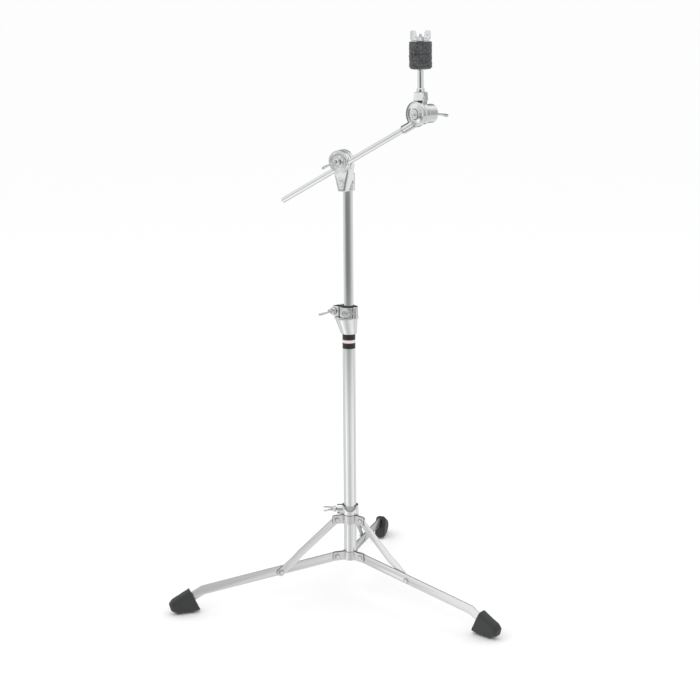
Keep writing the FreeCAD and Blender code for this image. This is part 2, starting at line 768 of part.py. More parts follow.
def make_height_clamp():
    cup = new_body("clamp_cup")
    foot = new_sketch(cup, "XY_Plane", "{clamp_foot}")
    draw_circle(foot, "0", "0", "{clamp_foot_radius}")
    rim = new_sketch(cup, "XY_Plane", "{clamp_rim} - 2")
    draw_circle(rim, "{clamp_rim_shift}", "{clamp_rim_aside}", "{clamp_rim_radius} - 2")
    loft = cup.newObject("PartDesign::AdditiveLoft", "clamp_cup_loft")
    loft.Profile = foot
    loft.Sections = [rim]
    lip = new_sketch(cup, "XY_Plane", "{clamp_rim} - 2")
    draw_circle(lip, "{clamp_rim_shift}", "{clamp_rim_aside}", "{clamp_rim_radius}")
    edge = pad(cup, lip, "{clamp_rim_height}")
    round_edges(cup, edge, "1.2", lambda item: abs(item.CenterOfMass.z - size("clamp_rim") - 2) < 1e-6)

    low = size("clamp_rim") + 2
    high = size("clamp_head")
    slot = size("clamp_slot")
    back_depth = size("clamp_lug_back")
    front_depth = size("clamp_lug_front")
    middle = (low + high) / 2
    third = (high - low) / 3
    rim = size("clamp_rim")
    hinge_x = -size("clamp_hinge_reach")
    bolt_x = size("clamp_bolt_reach")
    lug_x = size("clamp_lug_start")
    ease = 0.2
    lug_length = "{clamp_lug_reach} - {clamp_lug_start}"

    def across_both(label, radius, reach):
        """Cutter along Y, through both lugs or both jaws."""
        return rod_solid(label, radius, THROUGH, V(reach, -THROUGH / 2, middle), Y_AXIS)

    jaw = rod_solid("clamp_jaw_back", "{clamp_jaw_radius}", "{clamp_head} - {clamp_rim}", V(0, 0, rim),
                    angle=180)
    jaw.Placement.Rotation = FreeCAD.Rotation(Z_AXIS, 180)
    lug = block_solid("clamp_back_lug", (lug_length, "{clamp_lug_back} - {clamp_slot}",
                                         "{clamp_head} - {clamp_rim}"), V(lug_x, -back_depth, rim))
    lower_knuckle = rod_solid("clamp_knuckle_low", "{knuckle_radius}", third + 2, V(hinge_x, 0, rim))
    upper_knuckle = rod_solid("clamp_knuckle_high", "{knuckle_radius}", third, V(hinge_x, 0, high - third))
    solid = join("clamp_body_solid", [cup, jaw, lug, lower_knuckle, upper_knuckle])
    tube_bore = rod_solid("clamp_tube_bore", "{lower_tube_radius}",
                          "{lower_tube_head} - {clamp_foot} + 2", V(0, 0, size("clamp_foot") - 2))
    liner_bore = rod_solid("clamp_liner_bore", "{clamp_liner_radius}", THROUGH,
                           V(0, 0, size("clamp_foot")))
    front_space = block_solid("clamp_front_space", (2 * THROUGH, THROUGH, THROUGH), V(-THROUGH, -slot, low))
    knuckle_space = rod_solid("clamp_knuckle_space", "{knuckle_radius} + {face_gap}", third,
                              V(hinge_x, 0, low + third))
    pin_hole = rod_solid("clamp_pin_hole", "{hinge_pin_radius}", THROUGH, V(hinge_x, 0, rim))
    opening = subtract("clamp_opening", front_space,
                       join("clamp_kept_knuckles", [lower_knuckle, upper_knuckle]))
    cutters = join("clamp_cutters", [tube_bore, liner_bore, opening, knuckle_space, pin_hole,
                                     across_both("clamp_bolt_hole", "{bolt_radius}", bolt_x)])
    keep(subtract("clamp_body", solid, cutters), clamp_frame())

    gate_height = high - low - 2 * ease
    gate_jaw = rod_solid("gate_jaw", "{clamp_jaw_radius}", gate_height, V(0, 0, low + ease), angle=180)
    gate_lug = block_solid("gate_lug", (lug_length, "{clamp_lug_front} - {clamp_slot}", gate_height),
                           V(lug_x, slot, low + ease))
    gate_knuckle = rod_solid("gate_knuckle", "{knuckle_radius}", third - 2 * ease,
                             V(hinge_x, 0, low + third + ease))
    boss_turn = FreeCAD.Rotation(Z_AXIS, GATE_BOSS_AZIMUTH - CLAMP_AZIMUTH)
    boss_way = boss_turn.multVec(X_AXIS)
    gate_boss = rod_solid("gate_boss", "{gate_boss_radius}",
                          "{clamp_jaw_radius} + {gate_boss_height} - {clamp_lug_start}",
                          boss_way * size("clamp_lug_start") + V(0, 0, middle), boss_way)
    gate_solid = join("clamp_gate_solid", [gate_jaw, gate_lug, gate_knuckle, gate_boss])
    gate_bore = rod_solid("gate_bore", "{clamp_liner_radius}", THROUGH, V(0, 0, size("clamp_foot")))
    gate_slot = block_solid("gate_slot", (THROUGH, THROUGH, THROUGH), V(-15, slot - THROUGH, low))
    gate_pin = rod_solid("gate_pin_hole", "{hinge_pin_radius}", THROUGH, V(hinge_x, 0, rim))
    low_space = rod_solid("gate_low_space", "{knuckle_radius} + {face_gap}", third + ease,
                          V(hinge_x, 0, low))
    high_space = rod_solid("gate_high_space", "{knuckle_radius} + {face_gap}", third + 2 * ease,
                           V(hinge_x, 0, high - third - ease))
    gate_cutters = join("gate_cutters", [gate_bore, gate_slot, gate_pin, low_space, high_space,
                                         across_both("gate_bolt_hole", "{bolt_radius}", bolt_x)])
    keep(subtract("clamp_gate", gate_solid, gate_cutters), clamp_frame())

    pin = rod_solid("clamp_pin_shank", "{hinge_pin_radius}", "{clamp_head} - {clamp_rim}",
                    V(hinge_x, 0, rim))
    pin_head = dome_solid("clamp_pin_head", "{hinge_pin_head_radius}", "{hinge_pin_head_height}",
                          V(hinge_x, 0, high), Z_AXIS)
    keep(join("clamp_hinge_pin", [pin, pin_head]), clamp_frame())

    start = V(bolt_x, -back_depth, middle)
    bolt_shank = rod_solid("clamp_bolt_shank", "{bolt_radius}",
                           "{clamp_lug_back} + {clamp_lug_front} + {clamp_wing_nut_stem} + {bolt_tail}", start, Y_AXIS)
    bolt_head = rod_solid("clamp_bolt_head", "{bolt_head_radius}", "{bolt_head_height}",
                          start - Y_AXIS * size("bolt_head_height"), Y_AXIS)
    keep(join("clamp_bolt", [bolt_shank, bolt_head]), clamp_frame())

    nut_base = V(bolt_x, front_depth + size("face_gap"), middle)
    make_wing("clamp_wing_nut", clamp_frame().multiply(facing(nut_base, Y_AXIS, 20)))

    liner = new_body("clamp_bushing")
    inner = "{middle_tube_radius} + {running_gap}"
    turn(liner, [
        (inner, "{lower_tube_head}"),
        ("{clamp_liner_radius}", "{lower_tube_head}"),
        ("{clamp_liner_radius}", "{clamp_head}"),
        ("{clamp_liner_radius} + {bushing_flange}", "{clamp_head}"),
        ("{clamp_liner_radius} + {bushing_flange}", "{clamp_head} + {bushing_flange_height} - 1"),
        ("{clamp_liner_radius} + 0.4", "{clamp_head} + {bushing_flange_height}"),
        (inner, "{clamp_head} + {bushing_flange_height}"),
    ])
    keep(liner)


# ---------------------------------------------------------------- boom tilter

def boom_frame():
    """Frame of the boom: origin at the tilter's hinge in the rod's plane, X along the rod."""
    origin = V(size("boom_hinge_x"), -size("boom_plane"), size("boom_hinge_height"))
    return FreeCAD.Placement(origin, FreeCAD.Rotation(Y_AXIS, -size("boom_slope")))


def make_boom_socket():
    hinge = V(size("boom_hinge_x"), 0, size("boom_hinge_height"))
    sleeve = rod_solid("socket_sleeve", "{socket_radius}", "{socket_head} - {socket_foot}",
                       V(0, 0, size("socket_foot")))
    cheek = rod_solid("socket_cheek", "{cheek_radius}", "{cheek_face} - {cheek_back}",
                      hinge - Y_AXIS * size("cheek_face"), Y_AXIS)
    neck = new_body("socket_neck")
    sketch = new_sketch(neck, "XZ_Plane", "({cheek_face} + {neck_back}) / 2")
    draw_outline(sketch, [
        ("-{neck_foot_left}", "{socket_foot}"),
        ("{neck_foot_right}", "{socket_foot}"),
        ("{neck_head_right}", "{neck_head_height}"),
        ("-{neck_head_left}", "{neck_head_height}"),
    ])
    plate = pad(neck, sketch, "{cheek_face} - {neck_back}", both_ways=True)

    def front_side(edge):
        middle = edge.CenterOfMass
        sloping = abs(edge.Vertexes[0].Point.z - edge.Vertexes[-1].Point.z) > 10
        return sloping and middle.y < -size("neck_back") - 1

    round_edges(neck, plate, "3", front_side)
    solid = join("boom_socket_solid", [sleeve, cheek, neck])
    rivet_level = size("socket_rivet_height")
    tube_bore = rod_solid("socket_bore", "{middle_tube_radius}",
                          "{middle_tube_head} - {socket_foot} + 2", V(0, 0, size("socket_foot") - 2))
    bolt_bore = rod_solid("socket_bolt_bore", "{bolt_radius}", THROUGH, hinge - Y_AXIS * THROUGH, Y_AXIS)
    rivet_bore = rod_solid("socket_rivet_bore", "{socket_rivet_radius}", THROUGH,
                           V(-THROUGH / 2, 0, rivet_level), X_AXIS)
    keep(subtract("boom_socket", solid, join("boom_socket_cutters", [tube_bore, bolt_bore, rivet_bore])))

    rivets = []
    inside = size("middle_tube_radius") - size("middle_tube_wall")
    for across in (X_AXIS, X_AXIS * -1):
        shank = rod_solid("socket_rivet_shank", "{socket_rivet_radius}",
                          "{socket_radius} - {middle_tube_radius} + {middle_tube_wall}",
                          across * inside + V(0, 0, rivet_level), across)
        head = dome_solid("socket_rivet_head", "{socket_rivet_head_radius}", "{socket_rivet_head_height}",
                          across * size("socket_radius") + V(0, 0, rivet_level), across)
        rivets.append(join("socket_rivet", [shank, head]))
    keep(group("socket_rivets", rivets))

    start = hinge - Y_AXIS * size("cheek_back")
    head = rod_solid("boom_bolt_head", "{bolt_head_radius}", "{bolt_head_height}", start, Y_AXIS)
    shank = rod_solid("boom_bolt_shank", "{bolt_radius}",
                      "{drum_face} - {cheek_back} + {boom_wing_nut_stem} + {bolt_tail}", start, Y_AXIS * -1)
    keep(join("boom_bolt", [head, shank]))


def cut_middle_tube():
    """Cross holes for the socket's rivets."""
    tube = next(item for item in subparts if item.Label == "middle_tube")
    sketch = new_sketch(tube, "YZ_Plane")
    draw_circle(sketch, "0", "{socket_rivet_height}", "{socket_rivet_radius}")
    feature = tube.newObject("PartDesign::Pocket", "middle_tube_rivet_hole")
    feature.Profile = sketch
    feature.Length = 60
    feature.SideType = "Symmetric"
    doc.recompute()


def make_drum():
    """The drum that grips the rod: two halves on the tilter bolt, and a friction washer."""
    hinge_shift = size("boom_plane")

    def half(label, front, back):
        disc = rod_solid(label + "_disc", "{drum_radius}", "%g" % (front - back),
                         V(0, hinge_shift - front, 0), Y_AXIS)
        doc.recompute()
        softened = doc.addObject("Part::Fillet", label + "_soft")
        softened.Base = disc
        softened.Edges = [(number + 1, 1.4, 1.4) for number, edge in enumerate(disc.Shape.Edges)
                          if edge.Length > 100 and abs(edge.CenterOfMass.y - (hinge_shift - front)) < 1e-6]
        groove = rod_solid(label + "_groove", "{rod_radius} + {running_gap}", "80",
                           V(-40, 0, -size("boom_offset")), X_AXIS)
        bore = rod_solid(label + "_bore", "{bolt_radius} + {running_gap}", "60", V(0, -30, 0), Y_AXIS)
        keep(subtract(label, softened if label == "drum_front_half" else disc,
                      join(label + "_cutters", [groove, bore])), boom_frame())

    gap = size("face_gap")
    half("drum_front_half", size("drum_face"), size("boom_plane") + gap)
    half("drum_rear_half", size("boom_plane") - gap, size("drum_back"))
    washer = rod_solid("drum_washer_disc", "{drum_radius} - 2", "{friction_washer}", V(0, hinge_shift - size("drum_back"), 0),
                       Y_AXIS)
    hole = rod_solid("drum_washer_hole", "{bolt_radius} + {running_gap}", "60", V(0, -30, 0), Y_AXIS)
    keep(subtract("drum_friction_washer", washer, hole), boom_frame())
    base = V(0, hinge_shift - size("drum_face") - size("face_gap"), 0)
    make_wing("boom_wing_nut", boom_frame().multiply(facing(base, Y_AXIS * -1, 0)))


def make_boom_rod():
    start = V(-size("rod_tail"), 0, -size("boom_offset"))
    rod = rod_solid("boom_rod_bar", "{rod_radius}", "{rod_tail} + {rod_nose}", start, X_AXIS)
    doc.recompute()
    piece = doc.addObject("Part::Chamfer", "boom_rod")
    piece.Base = rod
    piece.Edges = [(number + 1, 0.8, 0.8) for number, edge in enumerate(rod.Shape.Edges)
                   if edge.Length > 20 and len(edge.Vertexes) == 1]
    keep(piece, boom_frame())


# ---------------------------------------------------------------- cymbal tilter

def tilter_frame(lean=False):
    """Frame of the cymbal tilter: origin on its hinge under the post, Y along the hinge."""
    origin = V(size("tilter_x"), size("tilter_y"), size("tilter_height"))
    rotation = FreeCAD.Rotation(Z_AXIS, -size("tilter_yaw"))
    if lean:
        rotation = rotation.multiply(FreeCAD.Rotation(Y_AXIS, -size("tilter_lean")))
    return FreeCAD.Placement(origin, rotation)


def make_tilter_ear():
    """Casting on the end of the rod: a round cheek with a socket for the rod below it."""
    frame = tilter_frame()
    face = frame.multVec(V(0, -size("ear_face"), 0))
    along = frame.Rotation.multVec(Y_AXIS)
    cheek = rod_solid("ear_cheek", "{ear_radius}", "{ear_face} - {ear_back}", face, along)
    doc.recompute()
    softened = doc.addObject("Part::Fillet", "ear_cheek_soft")
    softened.Base = cheek
    softened.Edges = [(number + 1, 1.6, 1.6) for number, edge in enumerate(cheek.Shape.Edges)
                      if edge.Length > 100 and edge.CenterOfMass.sub(face).Length < 1e-6]
    boom = boom_frame()
    nose = boom.multVec(V(size("rod_nose") + 2, 0, -size("boom_offset")))
    back = boom.Rotation.multVec(X_AXIS * -1)
    lug = rod_solid("ear_lug", "{ear_lug_radius}", "{ear_lug_length}", nose, back)
    doc.recompute()
    lug_soft = doc.addObject("Part::Fillet", "ear_lug_soft")
    lug_soft.Base = lug
    lug_soft.Edges = [(number + 1, 2.0, 2.0) for number, edge in enumerate(lug.Shape.Edges)
                      if edge.Length > 40 and len(edge.Vertexes) == 1]
    rod_bore = rod_solid("ear_rod_bore", "{rod_radius} + {running_gap}", "{ear_lug_length} + 10",
                         boom.multVec(V(size("rod_nose"), 0, -size("boom_offset"))), back)
    bolt_bore = rod_solid("ear_bolt_bore", "{bolt_radius}", "60", frame.multVec(V(0, -40, 0)), along)
    hub_space = rod_solid("ear_hub_space", "60", "60", frame.multVec(V(0, -size("ear_back"), 0)), along)
    keep(subtract("tilter_ear", join("tilter_ear_solid", [softened, lug_soft]),
                  join("tilter_ear_cutters", [rod_bore, bolt_bore, hub_space])))

    washer = rod_solid("brake_washer_disc", "{hub_radius} - 1", "{brake_washer}", V(0, -size("ear_back"), 0), Y_AXIS)
    hole = rod_solid("brake_washer_hole", "{bolt_radius}", "40", V(0, -20, 0), Y_AXIS)
    keep(subtract("tilter_brake_washer", washer, hole), tilter_frame())

    start = V(0, -size("ear_face"), 0)
    shank = rod_solid("tilter_bolt_shank", "{bolt_radius}",
                      "{ear_face} + {pressure_drum_end} + {tilter_wing_nut_stem} + {bolt_tail}", start, Y_AXIS)
    flange = rod_solid("tilter_bolt_flange", "{tilter_bolt_flange_radius}", "{washer_thickness}", start,
                       Y_AXIS * -1)
    dome = dome_solid("tilter_bolt_dome", "{tilter_bolt_dome_radius}", "{bolt_head_height}",
                      start - Y_AXIS * size("washer_thickness"), Y_AXIS * -1)
    keep(join("tilter_bolt", [shank, flange, dome]), tilter_frame())


def make_tilter_hub():
    """Centre piece that turns on the bolt, with the eight-sided boss that holds the post."""
    hub = rod_solid("hub_disc", "{hub_radius}", "2 * {hub_half}", V(0, -size("hub_half"), 0), Y_AXIS)
    neck = block_solid("hub_neck", ("2 * {hub_neck_half}", "2 * {hub_half}", "{boss_foot} + 4"),
                       V(-size("hub_neck_half"), -size("hub_half"), 0))
    boss = new_body("hub_boss")
    sides = 8
    foot = new_sketch(boss, "XY_Plane", "{boss_foot}")
    head = new_sketch(boss, "XY_Plane", "{boss_head}")
    for sketch, reach in ((foot, "{boss_foot_half}"), (head, "{boss_head_half}")):
        corners = []
        for number in range(sides):
            angle = 360.0 / sides * (number + 0.5)
            corners.append(("%s * cos(%g deg) / cos(22.5 deg)" % (reach, angle),
                            "%s * sin(%g deg) / cos(22.5 deg)" % (reach, angle)))
        draw_outline(sketch, corners)
    loft = boss.newObject("PartDesign::AdditiveLoft", "hub_boss_loft")
    loft.Profile = foot
    loft.Sections = [head]
    doc.recompute()
    solid = join("tilter_hub_solid", [hub, neck, boss])
    bolt_bore = rod_solid("hub_bolt_bore", "{bolt_radius} + {running_gap}", "60", V(0, -30, 0), Y_AXIS)
    post_bore = rod_solid("hub_post_bore", "{thread_radius}", "40", V(0, 0, 12))
    keep(subtract("tilter_hub", solid, join("tilter_hub_cutters", [bolt_bore, post_bore])),
         tilter_frame(lean=True))

    drum = rod_solid("pressure_drum_disc", "{pressure_drum_radius}", "{pressure_drum_end} - {hub_half} - 1",
                     V(0, size("hub_half") + 1, 0), Y_AXIS)
    collar = rod_solid("pressure_drum_step", "{pressure_drum_radius} - 4", "2", V(0, size("hub_half"), 0),
                       Y_AXIS)
    doc.recompute()
    drum_soft = doc.addObject("Part::Fillet", "pressure_drum_soft")
    drum_soft.Base = drum
    drum_soft.Edges = [(number + 1, 1.5, 1.5) for number, edge in enumerate(drum.Shape.Edges)
                       if edge.Length > 80 and len(edge.Vertexes) == 1]
    bolt_space = rod_solid("drum_bolt_bore", "{bolt_radius} + {running_gap}", "80", V(0, -30, 0), Y_AXIS)
    screw_hole = rod_solid("drum_screw_hole", "2.6", "8", V(-9.5, size("hub_half") - 0.5, 9.5), Y_AXIS)
    keep(subtract("tilter_pressure_drum", join("pressure_drum_solid", [drum_soft, collar]),
                  join("pressure_drum_cutters", [bolt_space, screw_hole])), tilter_frame(lean=True))
    base = V(0, size("pressure_drum_end") + size("face_gap"), 0)
    make_wing("tilter_wing_nut", tilter_frame().multiply(facing(base, Y_AXIS, 15)))


def turned_on_post(label, points):
    body = new_body(label)
    turn(body, points)
    keep(body, tilter_frame(lean=True))


def ring_points(inner, outer, foot, head):
    return [(inner, foot), (outer, foot), (outer, head), (inner, head)]


def make_post():
    turned_on_post("threaded_post", [
        ("0", "14"),
        ("{thread_radius}", "14"),
        ("{thread_radius}", "{thread_head} - 0.8"),
        ("{thread_radius} - 0.8", "{thread_head}"),
        ("0", "{thread_head}"),
    ])
    turned_on_post("post_collar_nut", [
        ("{thread_radius}", "{boss_head}"),
        ("{collar_nut_radius}", "{boss_head}"),
        ("{collar_nut_radius}", "{collar_nut_head} - 2"),
        ("{collar_nut_radius} - 1.4", "{collar_nut_head}"),
        ("{thread_radius}", "{collar_nut_head}"),
    ])
    turned_on_post("felt_seat_tube", [
        ("{thread_radius}", "{collar_nut_head}"),
        ("{seat_radius}", "{collar_nut_head}"),
        ("{seat_radius}", "{felt_foot} - {washer_thickness}"),
        ("{thread_radius}", "{felt_foot} - {washer_thickness}"),
    ])
    turned_on_post("seat_washer", ring_points("{thread_radius}", "13",
                                              "{felt_foot} - {washer_thickness}", "{felt_foot}"))
    turned_on_post("cymbal_sleeve", ring_points("{thread_radius}", "{sleeve_radius}", "{felt_foot}",
                                                "{felt_head} - 2"))
    levels = [("lower_felt", "{felt_foot}", "{felt_lower_top}"),
              ("middle_felt", "{felt_lower_top} + 0.1", "{felt_middle_top}"),
              ("upper_felt", "{felt_middle_top} + 0.1", "{felt_head}")]
    for label, foot, head in levels:
        edge = "{felt_edge}" if label == "lower_felt" else "1"
        turned_on_post(label, [
            ("{sleeve_radius} + 0.1", foot),
            ("{felt_radius} - " + edge, foot),
            ("{felt_radius}", foot + " + " + edge),
            ("{felt_radius}", head + " - 1"),
            ("{felt_radius} - 1", head),
            ("{sleeve_radius} + 0.1", head),
        ])
    base = V(0, 0, size("felt_head") + size("face_gap"))
    make_wing("top_wing_nut", tilter_frame(lean=True).multiply(facing(base, Z_AXIS, 48)))


# ---------------------------------------------------------------- assembly

make_lower_tube()
make_tube_end_plug()
make_label_band()
make_middle_tube()
make_guide_bush()
leg_gap = size("leg_thickness") / 2 + size("face_gap")
brace_gap = size("brace_thickness") / 2 + size("face_gap")
for index, (name, azimuth) in enumerate(LEG_AZIMUTH.items(), start=1):
    leg = make_leg(name, azimuth)
    make_boot(name, azimuth, leg)
    make_brace(name, azimuth)
    make_link_rivets(name, azimuth)
    make_collar_segment("lower_collar_segment_%d" % index, azimuth, LOWER_HUG,
                        size("leg_pivot_height"), leg_gap)
    make_collar_segment("upper_collar_segment_%d" % index, azimuth, UPPER_HUG,
                        size("brace_pivot_height"), brace_gap)
make_rivet_ring("lower_collar_rivets", size("leg_pivot_height"), leg_gap)
make_rivet_ring("upper_collar_rivets", size("brace_pivot_height"), brace_gap)
make_upper_collar()
make_collar_wing_screw()
make_height_clamp()
make_boom_socket()
cut_middle_tube()
make_drum()
make_boom_rod()
make_tilter_ear()
make_tilter_hub()
make_post()
doc.recompute()

for item in doc.Objects:
    broken = {"Invalid", "Error"} & set(item.State)
    if broken:
        raise RuntimeError("%s is %s" % (item.Label, ", ".join(sorted(broken))))
for piece in subparts:
    if piece.Shape.isNull() or not piece.Shape.isValid() or piece.Shape.Volume <= 0:
        raise RuntimeError("%s has no valid solid" % piece.Label)

os.makedirs("parts", exist_ok=True)
for piece in subparts:
    piece.Shape.exportStep("parts/%s.step" % piece.Label)
print("wrote %d sub-parts" % len(subparts))
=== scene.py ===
"""Looks of a flat-base cymbal boom stand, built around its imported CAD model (metres, Z up)."""
import json
import math

import bmesh
import bpy
from mathutils import Matrix, Vector, noise


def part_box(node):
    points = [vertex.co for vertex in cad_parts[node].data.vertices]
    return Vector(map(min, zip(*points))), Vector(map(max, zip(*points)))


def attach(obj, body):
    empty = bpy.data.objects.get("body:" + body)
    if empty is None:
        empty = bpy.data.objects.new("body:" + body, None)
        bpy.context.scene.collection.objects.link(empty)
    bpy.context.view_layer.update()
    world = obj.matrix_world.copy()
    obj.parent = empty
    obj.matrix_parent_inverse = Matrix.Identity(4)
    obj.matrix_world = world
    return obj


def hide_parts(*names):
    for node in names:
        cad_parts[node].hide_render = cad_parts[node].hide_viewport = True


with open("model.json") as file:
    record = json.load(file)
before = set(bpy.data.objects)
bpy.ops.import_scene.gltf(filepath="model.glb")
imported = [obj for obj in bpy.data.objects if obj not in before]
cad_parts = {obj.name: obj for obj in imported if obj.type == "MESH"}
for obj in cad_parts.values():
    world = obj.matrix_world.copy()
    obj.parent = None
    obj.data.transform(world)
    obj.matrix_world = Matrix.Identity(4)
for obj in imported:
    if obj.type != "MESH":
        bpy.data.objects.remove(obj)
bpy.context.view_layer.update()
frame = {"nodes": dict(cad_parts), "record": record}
scene = bpy.context.scene

MM = 0.001
RECORD = frame["record"]["behaviour"]
JOINTS = {joint["child"]: joint for joint in RECORD["joints"]}
BODY_OF = {node: body for body, nodes in RECORD["bodies"].items() for node in nodes}


# ---------------------------------------------------------------- node helpers

def new_material(name):
    material = bpy.data.materials.new(name)
    material.use_nodes = True
    return material, material.node_tree.nodes, material.node_tree.links


def object_place(nodes, links, scale=(1, 1, 1)):
    """Coordinates of the piece itself, stretched along its axes."""
    place = nodes.new("ShaderNodeTexCoord")
    stretch = nodes.new("ShaderNodeMapping")
    stretch.inputs["Scale"].default_value = scale
    links.new(place.outputs["Object"], stretch.inputs["Vector"])
    return stretch.outputs["Vector"]


def grain(nodes, links, place, scale, detail):
    cloud = nodes.new("ShaderNodeTexNoise")
    cloud.inputs["Scale"].default_value = scale
    cloud.inputs["Detail"].default_value = detail
    links.new(place, cloud.inputs["Vector"])
    return cloud.outputs["Fac"]


def colour_ramp(nodes, links, source, stops, interpolation="LINEAR"):
    """A ramp through stops of (position, colour); a plain level counts as a grey."""
    ramp = nodes.new("ShaderNodeValToRGB")
    ramp.color_ramp.interpolation = interpolation
    elements = ramp.color_ramp.elements
    while len(elements) < len(stops):
        elements.new(0.5)
    for element, (position, colour) in zip(elements, stops):
        red_green_blue = colour if isinstance(colour, tuple) else (colour,) * 3
        element.position = position
        element.color = red_green_blue + (1,)
    links.new(source, ramp.inputs["Fac"])
    return ramp.outputs["Color"]


def shares_between(nodes, links, source, low, high, interpolation="LINEAR"):
    """0 where the source is at low, 1 where it is at high."""
    share = nodes.new("ShaderNodeMapRange")
    share.interpolation_type = interpolation
    share.inputs["From Min"].default_value = low
    share.inputs["From Max"].default_value = high
    links.new(source, share.inputs["Value"])
    return share.outputs["Result"]


def mixed(nodes, links, first, second, share):
    """The second colour over the first one by a share, which is itself a socket."""
    mix = nodes.new("ShaderNodeMixRGB")
    links.new(share, mix.inputs["Fac"])
    links.new(first, mix.inputs["Color1"])
    if isinstance(second, tuple):
        mix.inputs["Color2"].default_value = second + (1,)
    else:
        links.new(second, mix.inputs["Color2"])
    return mix.outputs["Color"]


def multiplied(nodes, links, first, second):
    mix = nodes.new("ShaderNodeMixRGB")
    mix.blend_type = "MULTIPLY"
    mix.inputs["Fac"].default_value = 1
    links.new(first, mix.inputs["Color1"])
    links.new(second, mix.inputs["Color2"])
    return mix.outputs["Color"]


# ---------------------------------------------------------------- camera, floor and light

CAMERA_AZIMUTH = math.radians(32)
CAMERA_DISTANCE = 2.9
CAMERA_HEIGHT = 1.162
CAMERA_PITCH = math.radians(12.55)
CAMERA_ROLL = math.radians(-0.41)
CAMERA_YAW = math.radians(-0.04)
CAMERA_LENS = 75.84
SENSOR_WIDTH = 36

FLOOR_RADIUS = 300
FLOOR_COLOUR = (0.998, 1.0, 0.998, 1)
SKY_COLOUR = (0.978, 0.984, 0.98, 1)
LIGHT_AIM = Vector((0, 0, 0.5))

# The reflection wall: brightness by heading in degrees from the +X axis. The camera stands at heading -58.
WALL_RADIUS = 1.7
WALL_DEPTH = 6
WALL_MIDDLE = 0.5
WALL_TINT = (1, 1.005, 1.01)
FLOOR_PANELS = ((-180, 0.84), (-160, 0.74), (-146, 0.72), (-132, 1.10), (-112, 1.10), (-94, 0.82),
                (-58, 0.60), (-22, 0.84), (-3, 0.98), (18, 0.98), (40, 0.70), (76, 0.86), (108, 0.40),
                (122, 0.25), (138, 0.40), (180, 0.84))
TUBE_PANELS = ((-180, 0.84), (-160, 0.76), (-148, 0.62), (-118, 0.36), (-93, 0.22), (-58, 0.25),
               (-23, 0.30), (2, 0.50), (32, 0.68), (72, 0.95), (104, 0.22), (122, 0.10), (140, 0.22),
               (160, 0.80), (180, 0.84))
# the clamp, the boom drum and the tilter see the same panels except on the camera's left
LEFT_PANELS = ((-180, 0.92), (-166, 0.45), (-150, 0.94))
RIGHT_PANELS = ((-57, 0.12), (-42, 0.10), (-33, 0.80), (0, 0.98), (22, 0.30), (36, 0.92), (72, 0.96),
                (98, 0.10), (124, 0.06), (142, 0.12), (160, 0.80), (180, 0.92))
CLAMP_PANELS = LEFT_PANELS + ((-122, 0.98), (-104, 0.35), (-94, 0.86), (-63, 0.86)) + RIGHT_PANELS
BOOM_PANELS = LEFT_PANELS + ((-134, 0.62), (-122, 0.42), (-112, 0.45), (-100, 0.60),
                             (-84, 0.86), (-63, 0.86)) + RIGHT_PANELS
TILTER_PANELS = LEFT_PANELS + ((-122, 0.98), (-112, 0.90), (-101, 0.30)) + RIGHT_PANELS
CROWN_PANELS = ((-180, 0.92), (-150, 0.94), (-122, 0.72), (-96, 0.58), (-70, 0.90), (-33, 0.86),
                (-8, 0.50), (22, 0.42), (48, 0.92), (72, 0.96), (98, 0.30), (124, 0.20), (160, 0.80),
                (180, 0.92))
# the heights between which each layer fades in over the one below it
UPPER_LAYERS = (
    (-0.15, 0.42, TUBE_PANELS),
    (0.655, 0.685, CLAMP_PANELS),
    (0.722, 0.736, BOOM_PANELS),
    (0.79, 0.81, TILTER_PANELS),
    (1.06, 1.075, CROWN_PANELS),
)


def make_camera():
    data = bpy.data.cameras.new("camera")
    data.lens = CAMERA_LENS
    data.sensor_width = SENSOR_WIDTH
    camera = bpy.data.objects.new("camera", data)
    scene.collection.objects.link(camera)
    place = Matrix.Translation((
        CAMERA_DISTANCE * math.sin(CAMERA_AZIMUTH),
        -CAMERA_DISTANCE * math.cos(CAMERA_AZIMUTH),
        CAMERA_HEIGHT,
    ))
    heading = Matrix.Rotation(CAMERA_AZIMUTH + CAMERA_YAW, 4, "Z")
    tilt = Matrix.Rotation(math.pi / 2 - CAMERA_PITCH, 4, "X")
    camera.matrix_world = place @ heading @ tilt @ Matrix.Rotation(CAMERA_ROLL, 4, "Z")
    scene.camera = camera


def make_floor():
    bpy.ops.mesh.primitive_circle_add(vertices=128, radius=FLOOR_RADIUS, fill_type="NGON")
    floor = bpy.context.object
    floor.name = "floor"
    material, nodes, _ = new_material("pale_floor")
    shader = nodes["Principled BSDF"]
    shader.inputs["Base Color"].default_value = FLOOR_COLOUR
    shader.inputs["Roughness"].default_value = 1
    shader.inputs["Specular IOR Level"].default_value = 0
    floor.data.materials.append(material)
    floor.visible_glossy = False


def wall_level(nodes, links, share, panels):
    """Brightness of one layer of the wall, from the share of the full turn."""
    stops = [((heading + 180) / 360, tuple(level * tint for tint in WALL_TINT)) for heading, level in panels]
    return colour_ramp(nodes, links, share, stops, "EASE")


